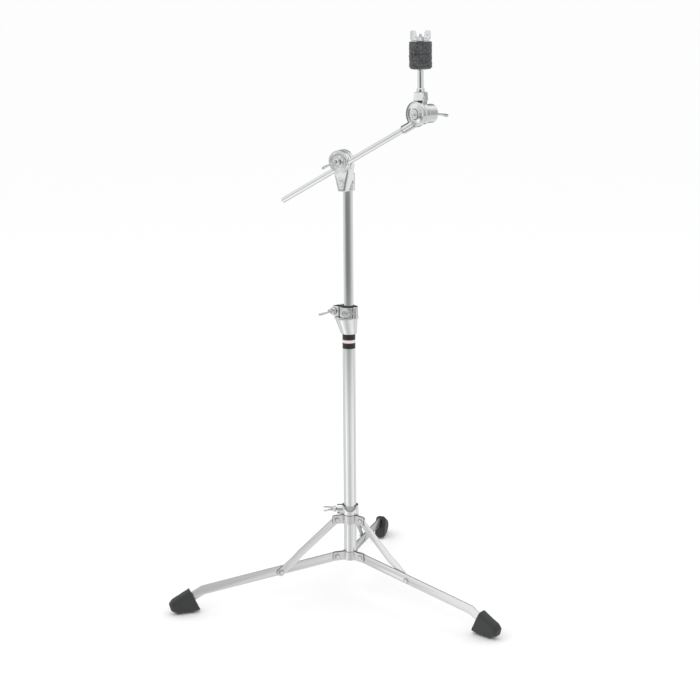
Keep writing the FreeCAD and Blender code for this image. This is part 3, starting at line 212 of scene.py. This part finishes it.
def make_reflection_wall():
    """A tall cylinder around the stand, seen only in the metal: panels above, pale sweep below."""
    bpy.ops.mesh.primitive_cylinder_add(vertices=128, radius=WALL_RADIUS, depth=WALL_DEPTH,
                                        end_fill_type="NOTHING", location=(0, 0, WALL_MIDDLE))
    wall = bpy.context.object
    wall.name = "reflection_wall"
    material, nodes, links = new_material("studio_panels")
    nodes.remove(nodes["Principled BSDF"])
    emission = nodes.new("ShaderNodeEmission")
    links.new(emission.outputs["Emission"], nodes["Material Output"].inputs["Surface"])
    place = nodes.new("ShaderNodeTexCoord")
    split = nodes.new("ShaderNodeSeparateXYZ")
    links.new(place.outputs["Object"], split.inputs["Vector"])
    turn = nodes.new("ShaderNodeMath")
    turn.operation = "ARCTAN2"
    links.new(split.outputs["Y"], turn.inputs[0])
    links.new(split.outputs["X"], turn.inputs[1])
    share = shares_between(nodes, links, turn.outputs["Value"], -math.pi, math.pi)
    level = wall_level(nodes, links, share, FLOOR_PANELS)
    for foot, head, panels in UPPER_LAYERS:
        above = shares_between(nodes, links, split.outputs["Z"], foot - WALL_MIDDLE, head - WALL_MIDDLE,
                               "SMOOTHSTEP")
        level = mixed(nodes, links, level, wall_level(nodes, links, share, panels), above)
    links.new(level, emission.inputs["Color"])
    wall.data.materials.append(material)
    wall.visible_camera = False
    wall.visible_diffuse = False
    wall.visible_shadow = False
    wall.visible_transmission = False
    wall.visible_volume_scatter = False


def make_light(name, place, size, power):
    """A soft round lamp, aimed at the middle of the stand."""
    data = bpy.data.lights.new(name, "AREA")
    data.shape = "DISK"
    data.size = size
    data.energy = power
    light = bpy.data.objects.new(name, data)
    scene.collection.objects.link(light)
    light.location = place
    light.rotation_euler = (LIGHT_AIM - Vector(place)).to_track_quat("-Z", "Y").to_euler()
    light.visible_camera = False


def make_sky():
    world = bpy.data.worlds.new("studio")
    scene.world = world
    world.use_nodes = True
    background = world.node_tree.nodes["Background"]
    background.inputs["Color"].default_value = SKY_COLOUR
    background.inputs["Strength"].default_value = 1.0


make_camera()
make_floor()
make_reflection_wall()
make_sky()
make_light("key_light", place=(-1.6, -2.4, 3.2), size=2.4, power=12)
make_light("top_light", place=(0.6, 0.8, 3.6), size=3.0, power=8)
scene.view_settings.view_transform = "Standard"


# ---------------------------------------------------------------- materials

CHROME = (0.86, 0.865, 0.865)
NICKEL = (0.775, 0.78, 0.77)
FELT_DARK = (0.042, 0.042, 0.045)
FELT_LIGHT = (0.112, 0.115, 0.122)
FELT_FLECK = (0.32, 0.325, 0.33)
FILM_BLACK = (0.016, 0.016, 0.018)
FILM_RED = (0.30, 0.03, 0.035)
FILM_PALE = (0.80, 0.79, 0.77)
# the stripe of the label band, as shares of the band's height
RED_FOOT = 0.36
PALE_FOOT = 0.40


def shaded(colour, share):
    return tuple(channel * share for channel in colour)


def add_bump(nodes, links, source, strength, distance):
    bump = nodes.new("ShaderNodeBump")
    bump.inputs["Strength"].default_value = strength
    bump.inputs["Distance"].default_value = distance
    links.new(source, bump.inputs["Height"])
    links.new(bump.outputs["Normal"], nodes["Principled BSDF"].inputs["Normal"])


def crevice_painted_shade(nodes, links, colour, reach, dark):
    """Painted shade: darken a colour where neighbouring surfaces shade it, in seams, grooves and bolt holes.
    """
    shade = nodes.new("ShaderNodeAmbientOcclusion")
    shade.inputs["Distance"].default_value = reach * MM
    shade.samples = 6
    level = colour_ramp(nodes, links, shade.outputs["AO"], ((0.35, dark), (0.82, 1.0)))
    return multiplied(nodes, links, colour, level)


def metal(name, colour, rough, scale, bump, stretch=(1, 1, 1), painted_shade=0.25):
    """Plated metal; rough runs from the polished to the dull patches, bump is (strength, depth), and the last
    argument sets how dark the painted shade in its crevices gets.
    """
    material, nodes, links = new_material(name)
    shader = nodes["Principled BSDF"]
    shader.inputs["Metallic"].default_value = 1
    cloud = grain(nodes, links, object_place(nodes, links, stretch), scale, detail=4)
    tint = colour_ramp(nodes, links, cloud, ((0.3, shaded(colour, 0.93)), (0.7, colour)))
    # painted shade: the plate darkens where neighbouring surfaces shade it, at most to the given level
    links.new(crevice_painted_shade(nodes, links, tint, reach=2.2, dark=painted_shade), shader.inputs["Base Color"])
    level = colour_ramp(nodes, links, cloud, ((0.3, rough[0]), (0.75, rough[1])))
    links.new(level, shader.inputs["Roughness"])
    add_bump(nodes, links, cloud, *bump)
    return material


def brushed_strip(name, along):
    """Satin nickel plate with fine brush lines along the strip."""
    material, nodes, links = new_material(name)
    shader = nodes["Principled BSDF"]
    shader.inputs["Metallic"].default_value = 1
    along = along.normalized()
    level = Vector((0, 0, 1)).cross(along).normalized()
    place = nodes.new("ShaderNodeTexCoord")
    combine = nodes.new("ShaderNodeCombineXYZ")
    for slot, (axis, stretch) in zip("XYZ", ((along, 0.03), (level, 1), (along.cross(level), 1))):
        share = nodes.new("ShaderNodeVectorMath")
        share.operation = "DOT_PRODUCT"
        share.inputs[1].default_value = axis * stretch
        links.new(place.outputs["Object"], share.inputs[0])
        links.new(share.outputs["Value"], combine.inputs[slot])
    lines = grain(nodes, links, combine.outputs["Vector"], 1400, detail=3)
    tint = colour_ramp(nodes, links, lines, ((0.3, shaded(NICKEL, 0.96)), (0.7, NICKEL)))
    # painted shade in the strip's seams and round its rivets
    links.new(crevice_painted_shade(nodes, links, tint, reach=2.0, dark=0.2), shader.inputs["Base Color"])
    rough = colour_ramp(nodes, links, lines, ((0.3, 0.20), (0.75, 0.28)))
    links.new(rough, shader.inputs["Roughness"])
    add_bump(nodes, links, lines, 0.08, 0.02 * MM)
    return material


def matt(name, colour, rough, scale, depth):
    """Rubber, nylon or fibre, slightly mottled."""
    material, nodes, links = new_material(name)
    shader = nodes["Principled BSDF"]
    cloud = grain(nodes, links, object_place(nodes, links), scale, detail=6)
    tint = colour_ramp(nodes, links, cloud, ((0.3, shaded(colour, 0.75)), (0.7, colour)))
    links.new(tint, shader.inputs["Base Color"])
    level = colour_ramp(nodes, links, cloud, ((0.3, rough * 0.85), (0.7, rough * 1.15)))
    links.new(level, shader.inputs["Roughness"])
    add_bump(nodes, links, cloud, 0.5, depth)
    return material


def felt(name):
    """Pressed wool: dark mottled grey with pale flecks and no shine."""
    material, nodes, links = new_material(name)
    shader = nodes["Principled BSDF"]
    shader.inputs["Roughness"].default_value = 1
    shader.inputs["Specular IOR Level"].default_value = 0.1
    shader.inputs["Sheen Weight"].default_value = 0.25
    place = object_place(nodes, links)
    cloud = grain(nodes, links, place, 330, detail=8)
    tint = colour_ramp(nodes, links, cloud, ((0.36, FELT_DARK), (0.64, FELT_LIGHT)))
    fleck = grain(nodes, links, place, 1300, detail=2)
    bright = colour_ramp(nodes, links, fleck, ((0.68, 0.0), (0.78, 0.8)))
    links.new(mixed(nodes, links, tint, FELT_FLECK, bright), shader.inputs["Base Color"])
    add_bump(nodes, links, cloud, 0.9, 0.6 * MM)
    return material


def banded_film(name, foot, head):
    """Black film with one plain pale stripe round its middle, edged in dull red."""
    material, nodes, links = new_material(name)
    shader = nodes["Principled BSDF"]
    place = object_place(nodes, links)
    cloud = grain(nodes, links, place, 420, detail=3)
    split = nodes.new("ShaderNodeSeparateXYZ")
    links.new(place, split.inputs["Vector"])
    height = shares_between(nodes, links, split.outputs["Z"], foot, head)
    stops = ((0, FILM_BLACK), (RED_FOOT, FILM_RED), (PALE_FOOT, FILM_PALE), (1 - PALE_FOOT, FILM_RED),
             (1 - RED_FOOT, FILM_BLACK))
    bands = colour_ramp(nodes, links, height, stops, "CONSTANT")
    worn = colour_ramp(nodes, links, cloud, ((0.3, 0.8), (0.6, 1.0)))
    links.new(multiplied(nodes, links, bands, worn), shader.inputs["Base Color"])
    level = colour_ramp(nodes, links, cloud, ((0.3, 0.22), (0.7, 0.38)))
    links.new(level, shader.inputs["Roughness"])
    return material


band_low, band_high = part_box("label_band")
MATERIALS = {
    "chrome_tube": metal("chrome_tube", CHROME, (0.06, 0.10), 900, (0.08, 0.02 * MM), (1, 1, 0.05)),
    "plated_strip": metal("plated_strip", NICKEL, (0.26, 0.34), 700, (0.15, 0.04 * MM)),
    # the castings get a deeper painted shade in their crevices
    "chrome_casting": metal("chrome_casting", CHROME, (0.05, 0.10), 260, (0.10, 0.04 * MM), painted_shade=0.4),
    "chrome_wing": metal("chrome_wing", CHROME, (0.06, 0.11), 320, (0.10, 0.04 * MM)),
    "steel_fastener": metal("steel_fastener", NICKEL, (0.18, 0.28), 800, (0.15, 0.03 * MM)),
    "black_rubber": matt("black_rubber", (0.034, 0.035, 0.036), 0.48, 1100, 0.12 * MM),
    "grey_nylon": matt("grey_nylon", (0.42, 0.43, 0.43), 0.4, 900, 0.03 * MM),
    "black_nylon": matt("black_nylon", (0.030, 0.030, 0.032), 0.42, 900, 0.03 * MM),
    "fibre_washer": matt("fibre_washer", (0.10, 0.075, 0.055), 0.8, 2500, 0.1 * MM),
    "grey_felt": felt("grey_felt"),
    "band_film": banded_film("band_film", band_low[2], band_high[2]),
}

SLOT_OF = {}
for node, piece in frame["nodes"].items():
    SLOT_OF[node] = piece.material_slots[0].material.name.split(".")[0]
    for holder in piece.material_slots:
        holder.material = MATERIALS[SLOT_OF[node]]


# ---------------------------------------------------------------- tools for new pieces

LEG_HEADINGS = {"front_right": -10.0, "rear": 110.0, "front_left": 230.0}


def heading_axes(degrees):
    """Outward and sideways directions at a heading."""
    angle = math.radians(degrees)
    return Vector((math.cos(angle), math.sin(angle), 0)), Vector((-math.sin(angle), math.cos(angle), 0))


def step_between(low, high, value):
    """Smooth step from 0 at low to 1 at high."""
    share = min(max((value - low) / (high - low), 0), 1)
    return share * share * (3 - 2 * share)


def ridge(value):
    """Triangle wave between 0 and 1."""
    return abs((value % 1) * 2 - 1)


def lump(point, scale, seed):
    """Seeded noise at a place, for cast and worn surfaces."""
    return noise.noise(point / (scale * MM) + Vector((seed, seed * 1.7, 0)))


def welded_copy(node):
    """The CAD mesh of a node as closed geometry, without its stored normals."""
    mesh = bmesh.new()
    mesh.from_mesh(frame["nodes"][node].data)
    mesh.transform(frame["nodes"][node].matrix_world)
    bmesh.ops.remove_doubles(mesh, verts=mesh.verts, dist=0.003 * MM)
    return mesh


def add_piece(node, mesh):
    """Link a finished bmesh as the piece that stands for one CAD node."""
    name = node + "_look"
    data = bpy.data.meshes.new(name)
    mesh.to_mesh(data)
    mesh.free()
    data.polygons.foreach_set("use_smooth", [True] * len(data.polygons))
    data.materials.append(MATERIALS[SLOT_OF[node]])
    piece = bpy.data.objects.new(name, data)
    scene.collection.objects.link(piece)
    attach(piece, BODY_OF[node])
    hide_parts(node)
    return piece


def evaluated(mesh, modifiers):
    """Run modifiers over a bmesh and return the result as a new bmesh."""
    data = bpy.data.meshes.new("work")
    mesh.to_mesh(data)
    mesh.free()
    work = bpy.data.objects.new("work", data)
    scene.collection.objects.link(work)
    for kind, settings in modifiers:
        modifier = work.modifiers.new(kind, kind)
        for key, value in settings.items():
            setattr(modifier, key, value)
    result = bmesh.new()
    result.from_object(work, bpy.context.evaluated_depsgraph_get())
    bpy.data.objects.remove(work)
    bpy.data.meshes.remove(data)
    return result


def cast_piece(node, grid, rounds, shape=None):
    """The CAD shape on an even grid (mm), its edges rounded, then moved point by point by shape."""
    mesh = evaluated(welded_copy(node), (
        ("REMESH", {"mode": "VOXEL", "voxel_size": grid * MM, "adaptivity": 0}),
        ("SMOOTH", {"factor": 0.5, "iterations": rounds}),
    ))
    if shape:
        mesh.normal_update()
        moves = [shape(point.co, point.normal) for point in mesh.verts]
        for point, move in zip(mesh.verts, moves):
            point.co += move
    return add_piece(node, mesh)


def bevelled_piece(node, width):
    """A pressed strip with its edges broken, as stamping and plating leave them."""
    mesh = welded_copy(node)
    bmesh.ops.dissolve_limit(mesh, angle_limit=math.radians(0.6), verts=mesh.verts, edges=mesh.edges)
    mesh = evaluated(mesh, (
        ("BEVEL", {"width": width * MM, "segments": 3, "limit_method": "ANGLE",
                   "angle_limit": math.radians(35), "harden_normals": False}),
    ))
    piece = add_piece(node, mesh)
    piece.data.set_sharp_from_angle(angle=math.radians(32))
    return piece


# ---------------------------------------------------------------- felts

def felt_shape(seed):
    """Uneven pressed wool, from broad waves down to tufts."""
    def shape(point, normal):
        wide = lump(point, 9, seed) * 0.45
        matted = lump(point, 2.6, seed + 5) * 0.5
        tufts = abs(lump(point, 1.1, seed + 9)) * 0.55
        return normal * (wide + matted + tufts - 0.25) * MM
    return shape


for count, node in enumerate(("lower_felt", "middle_felt", "upper_felt")):
    cast_piece(node, grid=0.5, rounds=5, shape=felt_shape(3.0 * count + 1))


# ---------------------------------------------------------------- rubber boots

# the foot and the head of a boot's mouth, as reach and height in its leg's plane
MOUTH_FOOT = Vector((0.3215, 0.0045))
MOUTH_HEAD = Vector((0.3420, 0.0490))
MOUTH_HALF = 0.0245
LIP_HEIGHT = 0.7
SEAM_HEIGHT = 0.3


def boot_shape(degrees, seed):
    """A lip round the mouth, a mould seam along the middle, and worn sides over a flat sole."""
    out, side = heading_axes(degrees)
    slant = (MOUTH_HEAD - MOUTH_FOOT).normalized()
    inward = Vector((slant.y, -slant.x))

    def shape(point, normal):
        flat = Vector((point.dot(out), point.z))
        across = point.dot(side)
        depth = (flat - MOUTH_FOOT).dot(inward)
        middle = MOUTH_FOOT + slant * MOUTH_HALF + inward * max(depth, 0)
        away = out * (flat.x - middle.x) + Vector((0, 0, 1)) * (flat.y - middle.y) + side * across
        outer = step_between(-0.1, 0.3, normal.dot(away.normalized()))
        lip = (1 - step_between(1.4 * MM, 2.8 * MM, depth)) * LIP_HEIGHT
        near_seam = 1 - step_between(0.3 * MM, 0.9 * MM, abs(across))
        seam = near_seam * SEAM_HEIGHT * step_between(3 * MM, 6 * MM, depth)
        dents = lump(point, 14, seed) * 0.35 + lump(point, 4, seed + 3) * 0.08
        above_sole = step_between(0, 2 * MM, point.z)
        return normal * outer * (lip + seam + dents * above_sole) * MM
    return shape


for count, (leg, degrees) in enumerate(LEG_HEADINGS.items()):
    cast_piece("boot_" + leg, grid=0.7, rounds=30, shape=boot_shape(degrees, 11.0 + 4 * count))


# ---------------------------------------------------------------- wing fasteners

# body, hub radius and half span of each (mm)
WINGS = (("collar_screw", 6, 15), ("clamp_nut", 7, 20), ("boom_nut", 7.5, 25), ("tilter_nut", 7, 19),
         ("top_nut", 6.5, 19.5))
WAIST = 0.30
SWELL = 0.05
CUP = 1.1
CUP_START = 0.55


def wing_shape(body, hub, span, seed):
    """Wings that thin towards their middle and cup at their tips, one each way, for a finger's hold."""
    base = Vector(JOINTS[body]["pos_m"])
    axis = Vector(JOINTS[body]["axis"]).normalized()
    corners = [corner.co - base for corner in frame["nodes"][RECORD["bodies"][body][0]].data.vertices]
    aside = [offset - axis * offset.dot(axis) for offset in corners]
    spread = max(aside, key=lambda offset: offset.length).normalized()
    across = axis.cross(spread)
    top = max(offset.dot(axis) for offset in corners)

    def shape(point, normal):
        offset = point - base
        reach = abs(offset.dot(spread))
        way = 1 if offset.dot(spread) > 0 else -1
        height = offset.dot(axis) / top
        beyond_hub = step_between(hub * 0.9 * MM, hub * 1.3 * MM, max(reach, height * hub * 1.2 * MM))
        share = reach / (span * MM)
        thinned = offset.dot(across) * (WAIST * math.sin(math.pi * min(share, 1)) - SWELL)
        cupped = CUP * MM * step_between(CUP_START, 1.0, share) * way
        return across * (cupped - thinned) * beyond_hub + normal * lump(point, 5, seed) * 0.12 * MM
    return shape


for count, (body, hub, span) in enumerate(WINGS):
    cast_piece(RECORD["bodies"][body][0], grid=0.4, rounds=4, shape=wing_shape(body, hub, span, 31.0 + count))


# ---------------------------------------------------------------- castings

# distance of each turned face from its centre along its axis (mm)
EAR_FACE = 17.2
HUB_FACE = 6.2
GATE_FACE = 21.1
GATE_HEADING = -80.0
RIM_TEETH = 32
TOOTH_DEPTH = 1.3
CROWN_FINGERS = 8


def dished(centre, axis, face, rings=(), fall=None, teeth=None):
    """Turned grooves on a round face; rings are (inner radius, outer radius, depth) in mm.

    fall, also (inner radius, outer radius, depth), slopes the face back towards its rim.
    teeth, as (radius, low, high), notches the rim outside a radius between two heights.
    """
    first = axis.orthogonal().normalized()
    second = axis.cross(first)

    def face_depth(radius):
        depth = 0
        for inner, outer, ring_depth in rings:
            edge = (outer - inner) * 0.3
            entered = step_between(inner, inner + edge, radius)
            left = step_between(outer - edge, outer, radius)
            depth += entered * (1 - left) * ring_depth
        if fall:
            depth += step_between(fall[0], fall[1], radius) * fall[2]
        return depth

    def shape(point, normal):
        offset = point - centre
        along = offset.dot(axis)
        aside = offset - axis * along
        radius = aside.length / MM
        move = normal * lump(point, 14, face) * 0.04 * MM
        if along > (face - 1.2) * MM and normal.dot(axis) > 0.5:
            move -= axis * face_depth(radius) * MM
        if teeth and radius > teeth[0] and teeth[1] * MM < along < teeth[2] * MM:
            turn = math.atan2(offset.dot(second), offset.dot(first)) / math.tau * RIM_TEETH
            move -= aside.normalized() * ridge(turn) * TOOTH_DEPTH * MM
        return move
    return shape


def plain_cast(seed):
    """The slight unevenness of a polished casting."""
    def shape(point, normal):
        return normal * (lump(point, 16, seed) * 0.05 + lump(point, 4, seed + 2) * 0.01) * MM
    return shape


boom_hinge = Vector(JOINTS["boom_drum"]["pos_m"])
drum_centre = Vector((boom_hinge.x, 0, boom_hinge.z))
drum_face = -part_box("drum_front_half")[0][1] / MM
drum_dish = dished(drum_centre, Vector((0, -1, 0)), drum_face, rings=((8.2, 18.6, 2.3), (19.4, 20.4, 0.3)))
cast_piece("drum_front_half", grid=0.4, rounds=3, shape=drum_dish)
cast_piece("drum_rear_half", grid=0.45, rounds=3, shape=plain_cast(41.0))
cast_piece("boom_socket", grid=0.5, rounds=40, shape=plain_cast(43.0))

tilt_hinge = Vector(JOINTS["cymbal_holder"]["pos_m"])
tilt_face = -Vector(JOINTS["cymbal_holder"]["axis"]).normalized()
ear_dish = dished(tilt_hinge, tilt_face, EAR_FACE, rings=((8.6, 10.4, 1.4), (20.0, 21.0, 0.4)),
                  fall=(9.5, 20.5, 3.2), teeth=(21.0, 6.5, 10.2))
hub_teeth = dished(tilt_hinge, tilt_face, HUB_FACE, teeth=(17.5, 3.2, 7.0))
cast_piece("tilter_ear", grid=0.4, rounds=4, shape=ear_dish)
cast_piece("tilter_hub", grid=0.4, rounds=3, shape=hub_teeth)
cast_piece("tilter_pressure_drum", grid=0.4, rounds=4, shape=plain_cast(49.0))

gate_low, gate_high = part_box("clamp_gate")
gate_boss = Vector((0, 0, (gate_low[2] + gate_high[2]) / 2))
gate_dish = dished(gate_boss, heading_axes(GATE_HEADING)[0], GATE_FACE, rings=((3.4, 7.4, 1.6),))
cast_piece("clamp_body", grid=0.45, rounds=4, shape=plain_cast(51.0))
cast_piece("clamp_gate", grid=0.4, rounds=3, shape=gate_dish)
cast_piece("upper_collar_ring", grid=0.4, rounds=3, shape=plain_cast(55.0))
cast_piece("post_collar_nut", grid=0.3, rounds=2)

clamp_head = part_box("clamp_body")[1][2]


def crown_shape(point, normal):
    """Cut the rim of the clamp's nylon bushing into fingers that stand round the tube."""
    turn = math.atan2(point.y, point.x) / math.tau * CROWN_FINGERS
    gap = 1 - step_between(0.16, 0.30, ridge(turn))
    raised = max(point.z - clamp_head, 0)
    return Vector((0, 0, -raised * gap * 0.9))


cast_piece("clamp_bushing", grid=0.35, rounds=2, shape=crown_shape)


# ---------------------------------------------------------------- threads

THREAD_PITCH = 1.25
THREAD_DEPTH = 0.42
# the thread is cut on the rod and fades out before the bolt's head
ROD_RADIUS = 3.2
HEAD_RADIUS = 3.6
NUT_THREADS = (
    # threaded piece, body that turns on it, and where the thread starts from that body's place (mm)
    ("threaded_post", "top_nut", -4),
    ("boom_bolt", "boom_nut", 2),
    ("clamp_bolt", "clamp_nut", 2),
    ("tilter_bolt", "tilter_nut", 2),
)


def thread_shape(body, start):
    """Cut a screw thread into the rod that a nut turns on."""
    base = Vector(JOINTS[body]["pos_m"])
    axis = Vector(JOINTS[body]["axis"]).normalized()
    first = axis.orthogonal().normalized()
    second = axis.cross(first)

    def shape(point, normal):
        offset = point - base
        along = offset.dot(axis) / MM
        aside = offset - axis * offset.dot(axis)
        turn = math.atan2(offset.dot(second), offset.dot(first)) / math.tau
        wall = step_between(0.3, 0.7, normal.length - abs(normal.dot(axis)))
        on_rod = 1 - step_between(ROD_RADIUS, HEAD_RADIUS, aside.length / MM)
        begun = step_between(start, start + 1, along)
        cut = THREAD_DEPTH * ridge(along / THREAD_PITCH - turn) * wall * on_rod * begun
        return -aside.normalized() * cut * MM
    return shape


for node, body, start in NUT_THREADS:
    cast_piece(node, grid=0.25, rounds=1, shape=thread_shape(body, start))


# ---------------------------------------------------------------- rivets, strips and pressed collars

# how far a strip comes down over its reach
STRIP_FALL = {"leg": 0.134, "brace": 0.82}
STRIP_EDGE = 0.45
COLLAR_RIVET_REACH = 0.030
RIVET_RING = (4.2, 4.8, 5.6, 6.1)


def rivet_shape(node):
    """Press a ring into each domed head, which leaves a flat brim round a raised middle."""
    low, high = (Vector(corner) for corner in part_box(node))
    middle = (low + high) / 2
    legs = [heading_axes(degrees) for degrees in LEG_HEADINGS.values()]
    start, full, fading, end = RIVET_RING

    def shape(point, normal):
        out, side = max(legs, key=lambda pair: point.dot(pair[0]))
        reach = COLLAR_RIVET_REACH if node.endswith("collar_rivets") else middle.dot(out)
        radius = math.hypot(point.dot(out) - reach, point.z - middle.z) / MM
        facing = step_between(0.2, 0.5, abs(normal.dot(side)))
        ring = step_between(start, full, radius) * (1 - step_between(fading, end, radius))
        return -normal * ring * facing * MM
    return shape


for node in frame["nodes"]:
    if node.startswith(("leg_front", "leg_rear", "brace_front", "brace_rear")):
        kind, leg = node.split("_", 1)
        strip = bevelled_piece(node, STRIP_EDGE)
        out = heading_axes(LEG_HEADINGS[leg])[0]
        strip.data.materials[0] = brushed_strip("brushed_" + node, out - Vector((0, 0, STRIP_FALL[kind])))
    elif "collar_segment" in node:
        cast_piece(node, grid=0.35, rounds=3)
    elif node.startswith(("leg_rivet", "brace_rivet")) or node.endswith("collar_rivets"):
        cast_piece(node, grid=0.24, rounds=2, shape=rivet_shape(node))
